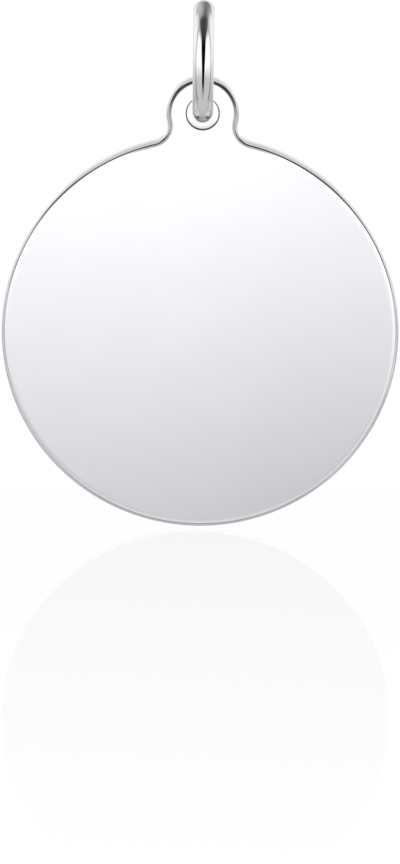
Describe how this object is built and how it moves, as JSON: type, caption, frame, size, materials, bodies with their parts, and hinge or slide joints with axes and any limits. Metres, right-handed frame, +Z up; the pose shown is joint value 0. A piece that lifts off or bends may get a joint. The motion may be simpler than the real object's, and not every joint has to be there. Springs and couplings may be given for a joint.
{
  "type": "disc pendant",
  "caption": "Plain round disc pendant with a drilled tab at its top, hanging from a closed jump ring of round wire.",
  "frame": {"origin": "inside top of the jump ring, where a chain bears", "axes": "+Z up, along which the disc hangs; the disc's face looks towards -Y; the ring stands in the YZ plane, so a chain runs through it along X"},
  "size_m": [0.02, 0.0062, 0.0268],
  "materials": {
    "disc_silver": "mirror-polished silver",
    "ring_silver": "polished silver wire"
  },
  "bodies": {
    "ring": {"jump_ring": "ring_silver"},
    "pendant": {"disc": "disc_silver"}
  },
  "joints": [
    {"name": "disc_swing", "type": "hinge", "parent": "ring", "child": "pendant", "pos_m": [0, 0, -0.00458], "axis": [0, 1, 0], "range_deg": [-105, 105]}
  ]
}
